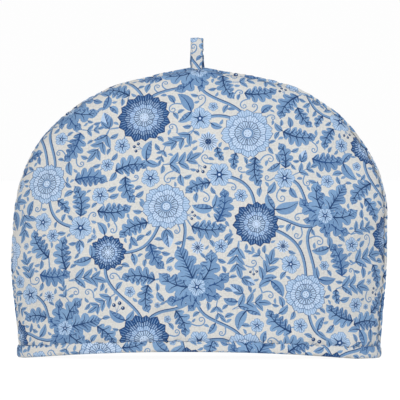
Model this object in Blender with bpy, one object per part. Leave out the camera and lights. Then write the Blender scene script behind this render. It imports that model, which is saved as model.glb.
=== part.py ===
"""A padded tea cosy standing on its hem, in metres, with +Z up and its face towards -Y.

Two bulging padded panels meet in a dome-shaped seam that holds a piped cord. A folded
strip makes the hanging loop at the top, and another binds the open mouth all the way
round. The origin is the middle of the mouth, on the surface that the hem rests on.
"""

import math

import bmesh
import bpy
import numpy as np

# The seam seen face on, as rows of height, and how far the piping's centre line
# stands to the left and to the right of the middle.
SEAM_ROWS = (
    (0.0126, 0.1704, 0.1710),
    (0.0400, 0.1730, 0.1732),
    (0.0800, 0.1772, 0.1765),
    (0.1200, 0.1760, 0.1772),
    (0.1497, 0.1731, 0.1749),
    (0.1792, 0.1648, 0.1668),
    (0.2035, 0.1517, 0.1548),
    (0.2262, 0.1310, 0.1365),
    (0.2430, 0.1084, 0.1144),
    (0.2558, 0.0842, 0.0912),
    (0.2667, 0.0446, 0.0536),
    (0.2747, 0.0, 0.0),
)
FOOT_HEIGHT, FOOT_LEFT, FOOT_RIGHT = SEAM_ROWS[0]
SPLINE_STEPS = 24  # pieces between two of a spline's points

# Depths are measured forwards or backwards from the seam's plane.
HEM_DEPTH = 0.0524  # to the binding's outer face, at mid-width
PANEL_RECESS = 0.0004  # how far a panel's face lies behind the binding's
PADDING = 0.0062  # from a panel's face to its lining, at its middle
FLATNESS = 2.4  # how long a panel stays flat before it turns in to the seam
SEAM_SHARPNESS = 0.55  # 0.5 makes a round edge, and 1.0 a knife edge
BELLY = 0.06  # how much fuller a panel is above its hem
BELLY_TOP = 0.18  # how far above the seam's foot the belly ends
SEAM_GAP = 0.0002  # from the seam's plane to each panel
CLEARANCE = 0.0004  # between neighbouring pieces

PIPING_RADIUS = 0.0023
FACE_INSET = 0.0019  # from the piping's centre line to the edge of a panel's face
FACE_EDGE_DEPTH = 0.0020
LINING_INSET = 0.0030

# The binding: a strip folded over the panels' lower edges, all round the mouth.
HEM_RISE = 0.0078  # how far the hem arches off the surface at mid-width
HEM_RISE_REACH = 0.112  # half the width of the arch
BINDING_HEIGHT = 0.0108  # at mid-width
BINDING_HEIGHT_AT_SIDES = 0.0122
BINDING_WALL = 0.0012
BINDING_WIDTH = 0.0057  # from its outer face to its inner one
BINDING_FOLD = 0.0010  # how far its lower edges are rounded
BINDING_OVERHANG = 0.0016  # past the piping's centre line
SIDE_TAPER = 1.5  # an inset is this much deeper at the sides than at mid-width

# The hanging loop: a flat strip folded over, its ends in the seam.
LOOP_PLACE = -0.0019  # across, from the middle
LOOP_HEIGHT = 0.0285  # from the piping to the fold
LOOP_WIDTH = 0.0124
LOOP_WAIST = 0.0100  # its width where the front leg comes out of the seam
LOOP_WAIST_REACH = 0.36  # the share of the strip over which it widens
LOOP_THICKNESS = 0.0013
LOOP_GAP = 0.0066  # clear space between the legs
LOOP_ROOT_GAP = 0.0007

# Soft dents, and swellings where the depth is negative, as rows of place across,
# height, reach and depth.
FRONT_DENTS = (
    (-0.0300, 0.036, 0.020, 0.0017),
    (0.0060, 0.040, 0.019, -0.0012),
    (0.1120, 0.078, 0.038, 0.0024),
    (-0.1420, 0.050, 0.026, 0.0018),
    (0.0780, 0.036, 0.028, 0.0014),
    (-0.0900, 0.180, 0.040, 0.0014),
    (0.0500, 0.205, 0.034, -0.0013),
    (-0.0550, 0.100, 0.042, -0.0012),
)
BACK_DENTS = (
    (-0.0600, 0.045, 0.024, 0.0018),
    (0.0450, 0.060, 0.032, -0.0013),
    (0.1250, 0.060, 0.030, 0.0020),
    (-0.1150, 0.110, 0.040, 0.0018),
    (0.0700, 0.170, 0.040, 0.0016),
    (-0.0350, 0.200, 0.036, -0.0012),
)

PANEL_COLUMNS = 32
PANEL_ROWS = 22
TUCKED_ROWS = 2  # the rows of a panel that its tucked edge takes
PIPING_POINTS = 90
LOOP_POINTS = 34

COTTON_COLOUR = (0.32, 0.41, 0.53, 1.0)  # blue flowers on cream, from a distance
COTTON_ROUGHNESS = 0.85
CREASE_ANGLE = math.radians(50)
WELD_DISTANCE = 1e-6


def between(start, end, near, far, place):
    """The point at a place on the line from start, at the place near, to end, at the place far."""
    return ((far - place) * start + (place - near) * end) / (far - near)


def spline(points):
    """A smooth line through the points: a centripetal Catmull-Rom spline."""
    points = np.asarray(points, float)
    before = 2.0 * points[0] - points[1]
    after = 2.0 * points[-1] - points[-2]
    points = np.vstack([before, points, after])
    pieces = []
    for a, b, c, d in zip(points, points[1:], points[2:], points[3:]):
        at_b = math.sqrt(math.dist(a, b))
        at_c = at_b + math.sqrt(math.dist(b, c))
        at_d = at_c + math.sqrt(math.dist(c, d))
        place = np.linspace(at_b, at_c, SPLINE_STEPS, endpoint=False)[:, None]
        ab = between(a, b, 0.0, at_b, place)
        bc = between(b, c, at_b, at_c, place)
        cd = between(c, d, at_c, at_d, place)
        abc = between(ab, bc, 0.0, at_c, place)
        bcd = between(bc, cd, at_b, at_d, place)
        pieces.append(between(abc, bcd, at_b, at_c, place))
    return np.vstack(pieces + [points[-2]])


def evenly_spaced(line, count):
    """The same line as a given number of points at equal distances."""
    steps = np.linalg.norm(np.diff(line, axis=0), axis=1)
    travelled = np.concatenate([[0.0], np.cumsum(steps)])
    places = np.linspace(0.0, travelled[-1], count)
    return np.column_stack([np.interp(places, travelled, column) for column in line.T])


def left_normals(line):
    """Unit vectors that point to the left of a flat line, one at each of its points."""
    along = np.gradient(line, axis=0)
    along /= np.linalg.norm(along, axis=1)[:, None]
    return np.column_stack([-along[:, 1], along[:, 0]])


def seam_line():
    """The piping's centre line from the right foot over the top to the left foot, as (x, z)."""
    rising = [(right, height) for height, _, right in SEAM_ROWS]
    falling = [(-left, height) for height, left, _ in reversed(SEAM_ROWS[:-1])]
    return spline(rising + falling)


def polar_seam(inset):
    """The seam moved in by a distance, as directions and distances from the middle of its feet."""
    line = SEAM + inset * left_normals(SEAM) - (0.0, FOOT_HEIGHT)
    directions = np.arctan2(line[:, 1], line[:, 0])
    directions[0] = 0.0
    directions[-1] = math.pi
    return directions, np.hypot(line[:, 0], line[:, 1])


SEAM = seam_line()
FACE_EDGE = polar_seam(FACE_INSET)
LINING_EDGE = polar_seam(LINING_INSET)


def eased(share):
    """A share from 0 to 1 that starts and ends gently."""
    share = min(max(share, 0.0), 1.0)
    return share * share * (3.0 - 2.0 * share)


def crowded_at_ends(share, pull):
    """A place between -1 and 1, moved towards the nearer end."""
    return share * (1.0 + pull - pull * share * share)


def fullness(share):
    """How deep a panel is, at a share of the way from its middle to its seam."""
    return max(0.0, 1.0 - min(abs(share), 1.0) ** FLATNESS) ** SEAM_SHARPNESS


def hem_rise(x):
    """How far the hem's lower edge is off the surface."""
    return HEM_RISE * eased(1.0 - abs(x) / HEM_RISE_REACH)


def binding_top(x):
    """The height of the binding's upper edge."""
    to_side = (x / FOOT_RIGHT) ** 2
    return hem_rise(x) + BINDING_HEIGHT + (BINDING_HEIGHT_AT_SIDES - BINDING_HEIGHT) * to_side


def dent_depth(x, z, dents):
    """How far the dents push a panel's face in at a place."""
    total = 0.0
    for across, height, reach, depth in dents:
        distance = math.hypot(x - across, z - height)
        total += depth * math.exp(-2.0 * (distance / reach) ** 2)
    return total


def mouth_point(across, inset, side):
    """A place in the mouth's plan, at an inset from the binding's outer face. across is -1 to 1."""
    foot = FOOT_RIGHT if across > 0.0 else FOOT_LEFT
    x = across * (foot + BINDING_OVERHANG - SIDE_TAPER * inset)
    return x, side * (HEM_DEPTH - inset) * fullness(across)


def panel_point(across, up, lining, side, dents):
    """A point of a panel's face or lining above the binding. across is -1 to 1, and up is 0 to 1."""
    out = across * math.sqrt(1.0 - up * up / 2.0)
    rise = up * math.sqrt(1.0 - across * across / 2.0)
    share = min(math.hypot(out, rise), 1.0)
    direction = math.atan2(rise, out)
    reach = share * np.interp(direction, *(LINING_EDGE if lining else FACE_EDGE))
    x = reach * math.cos(direction)
    z = FOOT_HEIGHT + CLEARANCE + reach * math.sin(direction)
    height_share = (z - FOOT_HEIGHT) / BELLY_TOP
    belly = 1.0 + BELLY * math.sin(math.pi * min(max(height_share, 0.0), 1.0))
    edge_depth = SEAM_GAP if lining else FACE_EDGE_DEPTH
    middle_depth = HEM_DEPTH - PANEL_RECESS - (PADDING if lining else 0.0)
    depth = edge_depth + (middle_depth - edge_depth) * fullness(share) * belly
    depth -= dent_depth(x, z, dents) * eased(2.0 * fullness(share)) * eased(8.0 * height_share)
    z += (binding_top(x) - FOOT_HEIGHT) * eased(1.0 - height_share)
    return x, side * depth, z


def tucked_point(across, row, lining, side):
    """A point of a panel's tucked edge. Row 0 is its end, and row 1 lies just above the binding."""
    inset = BINDING_WALL + CLEARANCE
    x, y = mouth_point(across, BINDING_WIDTH - inset if lining else inset, side)
    if row == 0:
        z = hem_rise(x) + BINDING_WALL + 2.0 * CLEARANCE
    else:
        z = binding_top(x) + CLEARANCE
    return x, side * max(abs(y), SEAM_GAP), z


def place_grid(bm, columns, rows, place):
    """Adds a grid whose points lie where place(column, row) says."""
    grid = bmesh.ops.create_grid(bm, x_segments=columns, y_segments=rows, size=1.0)
    for vert in grid["verts"]:
        column = round((vert.co.x + 1.0) / 2.0 * columns)
        row = round((vert.co.y + 1.0) / 2.0 * rows)
        vert.co = place(column, row)


def cotton(name):
    """A plain cotton finish for one piece."""
    material = bpy.data.materials.new(name + "_cotton")
    material.use_nodes = True
    shader = material.node_tree.nodes["Principled BSDF"]
    shader.inputs["Base Color"].default_value = COTTON_COLOUR
    shader.inputs["Roughness"].default_value = COTTON_ROUGHNESS
    shader.inputs["Metallic"].default_value = 0.0
    return material


def add_piece(name, data, collection):
    """Puts a mesh or a curve in the collection, with its own cotton."""
    data.materials.append(cotton(name))
    piece = bpy.data.objects.new(name, data)
    collection.objects.link(piece)
    return piece


def add_solid(name, bm, collection):
    """Makes a piece of a closed mesh, facing out and shaded smooth."""
    bmesh.ops.recalc_face_normals(bm, faces=bm.faces)
    mesh = bpy.data.meshes.new(name)
    bm.to_mesh(mesh)
    bm.free()
    mesh.shade_smooth()
    mesh.set_sharp_from_angle(angle=CREASE_ANGLE)
    return add_piece(name, mesh, collection)


def make_panel(name, side, dents, collection):
    """A padded panel: its face and its lining, joined along the seam and the lower edge."""

    def place(column, row, lining):
        across = crowded_at_ends(2.0 * column / PANEL_COLUMNS - 1.0, 0.4)
        if row < TUCKED_ROWS:
            return tucked_point(across, row, lining, side)
        up = crowded_at_ends((row - TUCKED_ROWS) / PANEL_ROWS, 0.3)
        return panel_point(across, up, lining, side, dents)

    bm = bmesh.new()
    rows = PANEL_ROWS + TUCKED_ROWS
    place_grid(bm, PANEL_COLUMNS, rows, lambda column, row: place(column, row, False))
    place_grid(bm, PANEL_COLUMNS, rows, lambda column, row: place(column, row, True))
    bmesh.ops.bridge_loops(bm, edges=[edge for edge in bm.edges if edge.is_boundary])
    return add_solid(name, bm, collection)


def make_binding(collection):
    """The binding: one ring with a U-shaped section, open at the top."""
    wall = BINDING_WALL
    width = BINDING_WIDTH
    fold = BINDING_FOLD
    section = (  # inset from the outer face, and height over the hem's edge or None for the upper edge
        (0.0, None),
        (0.0, BINDING_HEIGHT / 2.0),
        (0.0, fold),
        (fold, 0.0),
        (width - fold, 0.0),
        (width, fold),
        (width, None),
        (width - wall, None),
        (width - wall, wall),
        (wall, wall),
        (wall, None),
    )

    def place(column, row):
        inset, height = section[row % len(section)]
        back, step = divmod(column % (2 * PANEL_COLUMNS), PANEL_COLUMNS)
        side = 1.0 if back else -1.0
        across = -side * crowded_at_ends(2.0 * step / PANEL_COLUMNS - 1.0, 0.4)
        x, y = mouth_point(across, inset, side)
        return x, y, binding_top(x) if height is None else hem_rise(x) + height

    bm = bmesh.new()
    place_grid(bm, 2 * PANEL_COLUMNS, len(section), place)
    bmesh.ops.remove_doubles(bm, verts=bm.verts, dist=WELD_DISTANCE)
    return add_solid("hem_binding", bm, collection)


def make_piping(collection):
    """The piped cord in the seam, from the binding over the top and back down to it."""
    foot_height = binding_top(FOOT_RIGHT) + CLEARANCE
    line = SEAM[SEAM[:, 1] > foot_height]
    feet = [(end[0], foot_height) for end in (line[0], line[-1])]
    line = evenly_spaced(np.vstack([feet[0], line, feet[1]]), PIPING_POINTS)
    curve = bpy.data.curves.new("piping", "CURVE")
    curve.dimensions = "3D"
    curve.bevel_depth = PIPING_RADIUS
    curve.bevel_resolution = 2
    curve.use_fill_caps = True
    path = curve.splines.new("POLY")
    path.points.add(len(line) - 1)
    for point, (x, z) in zip(path.points, line):
        point.co = (x, 0.0, z, 1.0)
    return add_piece("piping", curve, collection)


def loop_path():
    """The middle of the loop's strip, from the front leg over the fold to the back leg, as (y, height)."""
    root = (LOOP_ROOT_GAP + LOOP_THICKNESS) / 2.0
    wide = (LOOP_GAP + LOOP_THICKNESS) / 2.0
    top = LOOP_HEIGHT - LOOP_THICKNESS / 2.0
    front = [
        (-root, 0.0),
        (-1.3 * root, 0.12 * top),
        (-0.8 * wide, 0.45 * top),
        (-wide, 0.72 * top),
        (-0.72 * wide, 0.93 * top),
    ]
    back = [(-y, z) for y, z in reversed(front)]
    return evenly_spaced(spline(front + [(0.0, top)] + back), LOOP_POINTS)


def make_loop(collection):
    """The hanging loop: a flat strip with soft edges, narrower where its front leg leaves the seam."""
    path = loop_path()
    outward = left_normals(path)
    across_seam = SEAM[::-1]
    root_height = np.interp(LOOP_PLACE, across_seam[:, 0], across_seam[:, 1]) + PIPING_RADIUS + CLEARANCE
    soft = 0.3 * LOOP_THICKNESS
    half = LOOP_THICKNESS / 2.0
    section = (  # side, how far in from that side's edge, and how far out from the strip's middle
        (-1, soft, -half),
        (0, 0.0, -half),
        (1, soft, -half),
        (1, 0.0, soft - half),
        (1, 0.0, half - soft),
        (1, soft, half),
        (0, 0.0, half),
        (-1, soft, half),
        (-1, 0.0, half - soft),
        (-1, 0.0, soft - half),
    )

    def place(column, row):
        edge, inset, out = section[row % len(section)]
        near_root = 1.0 - column / (LOOP_WAIST_REACH * (LOOP_POINTS - 1))
        width = LOOP_WIDTH + (LOOP_WAIST - LOOP_WIDTH) * eased(near_root)
        y, z = path[column] + out * outward[column]
        return LOOP_PLACE + edge * (width / 2.0 - inset), y, root_height + max(z, 0.0)

    bm = bmesh.new()
    place_grid(bm, LOOP_POINTS - 1, len(section), place)
    bmesh.ops.remove_doubles(bm, verts=bm.verts, dist=WELD_DISTANCE)
    bmesh.ops.holes_fill(bm, edges=[edge for edge in bm.edges if edge.is_boundary])
    return add_solid("hanging_loop", bm, collection)


def main():
    for left_over in list(bpy.data.objects):
        bpy.data.objects.remove(left_over)
    cosy = bpy.data.collections.new("tea_cosy")
    bpy.context.scene.collection.children.link(cosy)
    make_panel("front_panel", -1.0, FRONT_DENTS, cosy)
    make_panel("back_panel", 1.0, BACK_DENTS, cosy)
    make_binding(cosy)
    make_piping(cosy)
    make_loop(cosy)


main()
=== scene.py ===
"""The looks of a padded tea cosy: printed cotton panels, piping, a bound hem and a loop.

Each soft solid of the frame is replaced by sewn cloth on the same surface. The print is
cut into the cloth's mesh as flat shapes, so it bends with the cloth and stays sharp.
"""

import math
import random
from functools import partial

import bpy
import numpy as np
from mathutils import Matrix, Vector
from mathutils.geometry import delaunay_2d_cdt


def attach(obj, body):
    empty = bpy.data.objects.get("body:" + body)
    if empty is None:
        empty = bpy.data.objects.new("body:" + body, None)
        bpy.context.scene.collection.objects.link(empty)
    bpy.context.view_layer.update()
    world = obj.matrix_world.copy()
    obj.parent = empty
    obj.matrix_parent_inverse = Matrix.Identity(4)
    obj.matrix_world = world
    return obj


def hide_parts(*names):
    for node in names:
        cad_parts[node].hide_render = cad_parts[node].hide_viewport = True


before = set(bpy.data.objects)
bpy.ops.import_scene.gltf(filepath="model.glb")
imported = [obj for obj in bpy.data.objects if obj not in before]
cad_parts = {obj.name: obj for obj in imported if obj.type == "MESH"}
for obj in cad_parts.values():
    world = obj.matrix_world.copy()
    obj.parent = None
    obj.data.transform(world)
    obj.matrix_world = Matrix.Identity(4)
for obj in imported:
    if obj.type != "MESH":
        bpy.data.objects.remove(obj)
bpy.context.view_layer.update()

MM = 0.001
BODY = "root"

# The frame's shapes, as part.py has them, with small touches from the photograph where the cloth
# lies a millimetre or two off its solid. First the seam's rows of height, left and right.
SEAM_ROWS = (
    (0.0126, 0.1704, 0.1710),
    (0.0400, 0.1730, 0.1732),
    (0.0800, 0.1772, 0.1765),
    (0.1200, 0.1760, 0.1772),
    (0.1497, 0.1731, 0.1766),
    (0.1792, 0.1648, 0.1686),
    (0.2035, 0.1517, 0.1548),
    (0.2262, 0.1310, 0.1365),
    (0.2430, 0.1084, 0.1144),
    (0.2558, 0.0842, 0.0912),
    (0.2667, 0.0446, 0.0494),
    (0.2706, 0.0276, 0.0250),
    (0.2745, 0.0, 0.0),
)
FOOT_HEIGHT, FOOT_LEFT, FOOT_RIGHT = SEAM_ROWS[0]
SPLINE_STEPS = 24
HEM_DEPTH = 0.0524
PANEL_RECESS = 0.0004
PADDING = 0.0062
FLATNESS = 2.4
SEAM_SHARPNESS = 0.55
BELLY = 0.06
BELLY_TOP = 0.18
SEAM_GAP = 0.0002
CLEARANCE = 0.0004
PIPING_RADIUS = 0.0020
PIPING_TUCK = 0.0016  # how far the piping runs into the binding
# From the right foot over the top to the left foot, how far inside the seam the face starts
FACE_INSETS = (0.0013, 0.0012, 0.0012, 0.0013, 0.0004, -0.0004, -0.0004, -0.0001)
FACE_EDGE_DEPTH = 0.0020
LINING_INSET = 0.0030
HEM_RISE = 0.0074
HEM_RISE_REACH = 0.158
HEM_RISE_MIDDLE = -0.008
HEM_RISE_POWER = 2.2
BINDING_HEIGHT = 0.0108
BINDING_HEIGHT_AT_SIDES = 0.0122
BINDING_OVERHANGS = (0.0028, 0.0020)  # past the seam at the left and at the right
SIDE_TAPER = 1.5
LOOP_PLACE = -0.0019
LOOP_HEIGHT = 0.0277
LOOP_WIDTH = 0.0124
LOOP_WAIST = 0.0100
LOOP_WAIST_REACH = 0.36
LOOP_FOOT = 0.0142
LOOP_THICKNESS = 0.0013
LOOP_GAP = 0.0066
FRONT_DENTS = (  # place across, height, reach and depth
    (-0.0320, 0.034, 0.013, 0.0034),
    (-0.0230, 0.046, 0.014, -0.0017),
    (0.0060, 0.040, 0.019, -0.0020),
    (0.1120, 0.078, 0.038, 0.0030),
    (-0.1420, 0.050, 0.026, 0.0025),
    (0.0780, 0.036, 0.028, 0.0020),
    (-0.0900, 0.180, 0.040, 0.0014),
    (0.0500, 0.205, 0.034, -0.0013),
    (-0.0550, 0.100, 0.042, -0.0012),
)
BACK_DENTS = (
    (-0.0600, 0.045, 0.024, 0.0018),
    (0.0450, 0.060, 0.032, -0.0013),
    (0.1250, 0.060, 0.030, 0.0020),
    (-0.1150, 0.110, 0.040, 0.0018),
    (0.0700, 0.170, 0.040, 0.0016),
    (-0.0350, 0.200, 0.036, -0.0012),
)

def between(start, end, near, far, place):
    """The point at a place on the line from start, at the place near, to end, at the place far."""
    return ((far - place) * start + (place - near) * end) / (far - near)

def spline(points):
    """A smooth line through the points: a centripetal Catmull-Rom spline."""
    points = np.asarray(points, float)
    before = 2.0 * points[0] - points[1]
    after = 2.0 * points[-1] - points[-2]
    points = np.vstack([before, points, after])
    pieces = []
    for a, b, c, d in zip(points, points[1:], points[2:], points[3:]):
        at_b = math.sqrt(math.dist(a, b))
        at_c = at_b + math.sqrt(math.dist(b, c))
        at_d = at_c + math.sqrt(math.dist(c, d))
        place = np.linspace(at_b, at_c, SPLINE_STEPS, endpoint=False)[:, None]
        ab = between(a, b, 0.0, at_b, place)
        bc = between(b, c, at_b, at_c, place)
        cd = between(c, d, at_c, at_d, place)
        abc = between(ab, bc, 0.0, at_c, place)
        bcd = between(bc, cd, at_b, at_d, place)
        pieces.append(between(abc, bcd, at_b, at_c, place))
    return np.vstack(pieces + [points[-2]])

def travelled(line):
    """How far along a line each of its points is."""
    return np.concatenate([[0.0], np.cumsum(np.linalg.norm(np.diff(line, axis=0), axis=1))])

def values_at(places, known, rows):
    """Each column of rows, which belong to known places, at other places."""
    return [np.interp(places, known, column) for column in rows.T]

def evenly(line, spacing):
    """The same line as points at about equal distances."""
    distances = travelled(line)
    places = np.linspace(0.0, distances[-1], int(distances[-1] / spacing) + 2)
    return np.column_stack(values_at(places, distances, line))

def left_normals(line):
    """Unit vectors that point to the left of a flat line, one at each of its points."""
    along = np.gradient(np.asarray(line, float), axis=0)
    along /= np.maximum(np.linalg.norm(along, axis=1), 1e-12)[:, None]
    return np.column_stack([-along[:, 1], along[:, 0]])

def eased(share):
    """A share from 0 to 1 that starts and ends gently."""
    share = np.clip(share, 0.0, 1.0)
    return share * share * (3.0 - 2.0 * share)

def fullness(share):
    """How deep a panel is, at a share of the way from its middle to its seam."""
    return (1.0 - np.minimum(np.abs(share), 1.0) ** FLATNESS) ** SEAM_SHARPNESS

def hem_rise(x):
    """How far the hem's lower edge is off the surface."""
    away = np.minimum(np.abs(x - HEM_RISE_MIDDLE) / HEM_RISE_REACH, 1.0)
    return HEM_RISE * (1.0 - away**HEM_RISE_POWER)

def binding_top(x):
    """The height of the binding's upper edge."""
    to_side = (x / FOOT_RIGHT) ** 2
    return hem_rise(x) + BINDING_HEIGHT + (BINDING_HEIGHT_AT_SIDES - BINDING_HEIGHT) * to_side

def seam_line():
    """The piping's centre line from the right foot over the top to the left foot, as (x, z)."""
    rising = [(right, height) for height, _, right in SEAM_ROWS]
    falling = [(-left, height) for height, left, _ in reversed(SEAM_ROWS[:-1])]
    return spline(rising + falling)

def polar_seam(inset):
    """The seam moved in by distances, as directions and distances from the middle of its feet."""
    line = SEAM + np.reshape(inset, (-1, 1)) * left_normals(SEAM) - (0.0, FOOT_HEIGHT)
    directions = np.arctan2(line[:, 1], line[:, 0])
    directions[0] = 0.0
    directions[-1] = math.pi
    return directions, np.hypot(line[:, 0], line[:, 1])

SEAM = seam_line()
SEAM_SHARE = travelled(SEAM) / travelled(SEAM)[-1]
FACE_EDGE = polar_seam(np.interp(SEAM_SHARE, np.linspace(0.0, 1.0, len(FACE_INSETS)), FACE_INSETS))
LINING_EDGE = polar_seam(LINING_INSET)

# The print: flat shapes in millimetres, the later ones on top. Each shape is its points, its
# ink and its strokes, which are None or a row: the place and angle they start from, how
# they run, how far they reach and the ink they are drawn in.

INKS = {  # sRGB, from 0 to 255
    "ground": (215, 213, 209),
    "leaf": (117, 151, 190),
    "leaf_light": (126, 160, 198),
    "leaf_shade": (109, 143, 183),
    "deep": (74, 108, 153),
    "vein": (28, 62, 108),
    "stem": (117, 151, 190),
    "petal": (181, 204, 231),
    "petal_light": (198, 216, 239),
    "petal_shade": (134, 166, 206),
    "navy": (32, 74, 128),
    "dark": (16, 52, 100),
}
INK_NAMES = list(INKS)
MID_LEAF = ("leaf", "leaf_light", "vein")  # a leaf's inks: its whole, its lighter half and its veins
DARK_LEAF = ("leaf_shade", "leaf", "navy")
PRINT_REPEAT = (244.0, 212.0)  # every other column drops by half
PRINT_MOTIFS = (  # kind, place across, place up, size and turn within the repeat
    ("dahlia", 46, 40, 25.0, 0.2),
    ("rosette", 142, 24, 24.0, 0.5),
    ("leaf_fan", 96, 90, 33.0, 2.0),
    ("rosette", 197, 86, 20.0, 1.1),
    ("dahlia", 14, 124, 17.0, 0.9),
    ("rosette", 68, 166, 22.0, 0.1),
    ("dahlia", 150, 150, 21.5, 0.7),
    ("leaf_fan", 214, 160, 29.0, 1.0),
    ("blossom", 98, 38, 11.5, 0.0),
    ("blossom", 232, 42, 11.5, 0.0),
    ("blossom", 116, 196, 12.0, 0.0),
    ("blossom", 176, 194, 10.0, 0.0),
)
PRINT_STEMS = (  # from one motif, to another, and how far the stem leans out at either end
    (0, 2, 0.45, -0.3),
    (2, 1, -0.4, 0.35),
    (2, 5, 0.35, -0.4),
    (7, 3, -0.45, 0.25),
    (7, 6, 0.4, -0.3),
    (6, 3, 0.35, 0.3),
    (4, 0, -0.35, 0.25),
    (5, 4, 0.25, 0.4),
    (8, 1, 0.25, 0.3),
    (10, 6, 0.4, 0.25),
    (9, 3, 0.4, 0.2),
    (11, 7, 0.3, -0.35),
)
VEINED, RAYED = 0.0, 1.0  # strokes that lean out from a rib, or spread from a middle
PRINT_GAP = 1.25  # ground left between neighbouring shapes
LEAST_ROOM, SMALL_ROOM, MIDDLE_ROOM, LARGE_ROOM = 1.7, 3.2, 6.2, 11.0  # where each kind of filling begins
MOST_ROOM = 15.0  # what the largest filling takes up
STEM_MARGIN = 60.0  # a stem is drawn if either end is this near to the cloth
STEM_POINTS = 18
FLOWERS = {  # rings of petals, discs and rings of dots; sizes are shares of the radius, but not a dot's own
    "dahlia": (
        (  # petals, turn, start, end, overlap, notch, the strokes' reach, and the three inks
            (15, 0.0, 0.3, 1.0, 1.25, 0.0, 0.95, ("dark", "navy", "leaf_light")),
            (13, 0.21, 0.25, 0.8, 1.2, 0.0, 1.05, ("dark", "deep", "petal")),
            (11, 0.0, 0.2, 0.6, 1.15, 0.0, 1.1, ("navy", "petal_shade", "petal_light")),
            (8, 0.3, 0.12, 0.4, 1.15, 0.0, 1.0, ("vein", "petal", "vein")),
        ),
        ((0.17, "petal_light", 12),),
        ((0.11, 7, 0.45, "navy"),),
    ),
    "rosette": (
        (
            (8, 0.0, 0.2, 1.0, 1.22, 0.08, 1.05, ("deep", "petal", "leaf")),
            (7, 0.39, 0.15, 0.76, 1.2, 0.06, 1.0, ("deep", "petal_light", "leaf")),
            (6, 0.1, 0.1, 0.52, 1.2, 0.05, 0.9, ("vein", "petal", "vein")),
        ),
        ((0.22, "leaf_shade", 14), (0.16, "petal_light", 12)),
        ((0.27, 11, 0.5, "navy"), (0.09, 5, 0.4, "vein")),
    ),
}
UNEVEN_FROM = 0.78  # petals that reach further than this share of a flower differ a little

def unit(angle):
    return np.array((math.cos(angle), math.sin(angle)))

def circle(angles):
    return np.column_stack([np.cos(angles), np.sin(angles)])

def heading_of(step):
    return math.atan2(step[1], step[0])

def spokes(count, turn=0.0):
    """Even angles all the way round."""
    return [turn + math.tau * number / count for number in range(count)]

def moved(points, place, angle):
    """Points turned by an angle, then moved."""
    return np.asarray(points) @ np.array((unit(angle), unit(angle + math.pi / 2.0))) + place

def all_moved(shapes, place, angle):
    return [(moved(points, place, angle), ink, lines) for points, ink, lines in shapes]

def bezier(start, leave, arrive, end, count):
    share = np.linspace(0.0, 1.0, count)[:, None]
    rest = 1.0 - share
    return start * rest**3 + 3.0 * leave * share * rest**2 + 3.0 * arrive * share**2 * rest + end * share**3

def drawn(line, thick, thin, ink="stem"):
    """A tapering line, as a shape."""
    side = left_normals(line) * np.linspace(thick / 2.0, thin / 2.0, len(line))[:, None]
    return np.vstack([line + side, (line - side)[::-1]]), ink, None

def disc(place, radius, ink, count=12):
    return [(place + radius * circle(np.arange(count) * math.tau / count), ink, None)]

def dots(place, radius, count, size, ink):
    """A ring of small discs."""
    return [dot for angle in spokes(count) for dot in disc(place + radius * unit(angle), size, ink, 5)]

def strokes(place, angle, way, reach, ink):
    return (place[0], place[1], angle, way, reach, INK_NAMES.index(ink))

def bowed(length, bend, count):
    """Shares of the way along a bowed line, and its points."""
    share = np.linspace(0.0, 1.0, count)
    return share, np.column_stack([share * length, bend * length * np.sin(0.9 * math.pi * share)])

def two_tone(left, middle, right, inks, shades):
    """A leaf's whole outline, and its lighter half over it."""
    whole = np.vstack([left, right[-2:0:-1]])
    light = np.vstack([left, middle[-2:0:-1]])
    return [(whole, inks[0], shades[0]), (light, inks[1], shades[1])]

def leaf(place, angle, length, width, bend=0.1, inks=MID_LEAF):
    """A plain leaf from its foot, half of it lighter if it is broad, with a rib if it is long."""
    share, middle = bowed(length, bend, 6 if length < 13.0 else 9)
    half = (np.sin(math.pi * share**0.8) ** 0.85)[:, None] * left_normals(middle) * width / 2.0
    half[0] = half[-1] = 0.0
    tones = 2 if width > 6.0 else 1
    shade = strokes(place, angle, VEINED, 0.34 * width, "deep") if tones == 2 else None
    shapes = two_tone(middle + half, middle, middle - half, inks, (shade, None))[:tones]
    if length > 6.5:
        rib = middle[: -1 : 2 if len(middle) < 9 else 1]
        shapes.append(drawn(rib, min(1.3, 0.12 * width + 0.3), 0.3, inks[2]))
    return all_moved(shapes, place, angle)

def lobed_leaf(place, angle, length, width, bend=0.1, lobes=4, inks=MID_LEAF):
    """A leaf with rounded lobes that lean forwards, and veins."""
    count = 5 * lobes + 3
    share, middle = bowed(length, bend, count)
    side = left_normals(middle)
    along = np.column_stack([side[:, 1], -side[:, 0]])
    phase = (share * (lobes + 0.3)) % 1.0
    swell = np.sin(math.pi * np.minimum(1.0, phase * 1.02)) ** 0.7
    envelope = np.sin(math.pi * share**0.72) ** 0.8 * (0.36 + 0.64 * swell)
    lean = 0.35 / lobes * length * (phase - 0.25) * swell * (share > 0.03) * (share < 0.94)
    half = envelope * width / 2.0
    half[0] = half[-1] = 0.0
    left, right = (middle + way * side * half[:, None] + along * lean[:, None] for way in (1.0, -1.0))
    shades = [strokes(place, angle, VEINED, reach * width, "deep") for reach in (0.31, 0.15)]
    shapes = two_tone(left, middle, right, inks, shades)
    for lobe in range(lobes):
        at = (lobe + 0.1) / (lobes + 0.3)
        foot = int(at * (count - 1))
        tip = int(min(at + 0.6 / (lobes + 0.3), 0.98) * (count - 1))
        for edge in (left, right):
            end = middle[foot] + 0.78 * (edge[tip] - middle[foot])
            bow = (middle[foot] + end) / 2.0 + 0.06 * length * along[foot] / lobes * 2.0
            shapes.append(drawn(np.array([middle[foot], bow, end]), 1.0, 0.35, inks[2]))
    shapes.append(drawn(middle[: int(count * 0.9)], min(1.8, 0.06 * width + 0.6), 0.4, inks[2]))
    return all_moved(shapes, place, angle)

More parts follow.
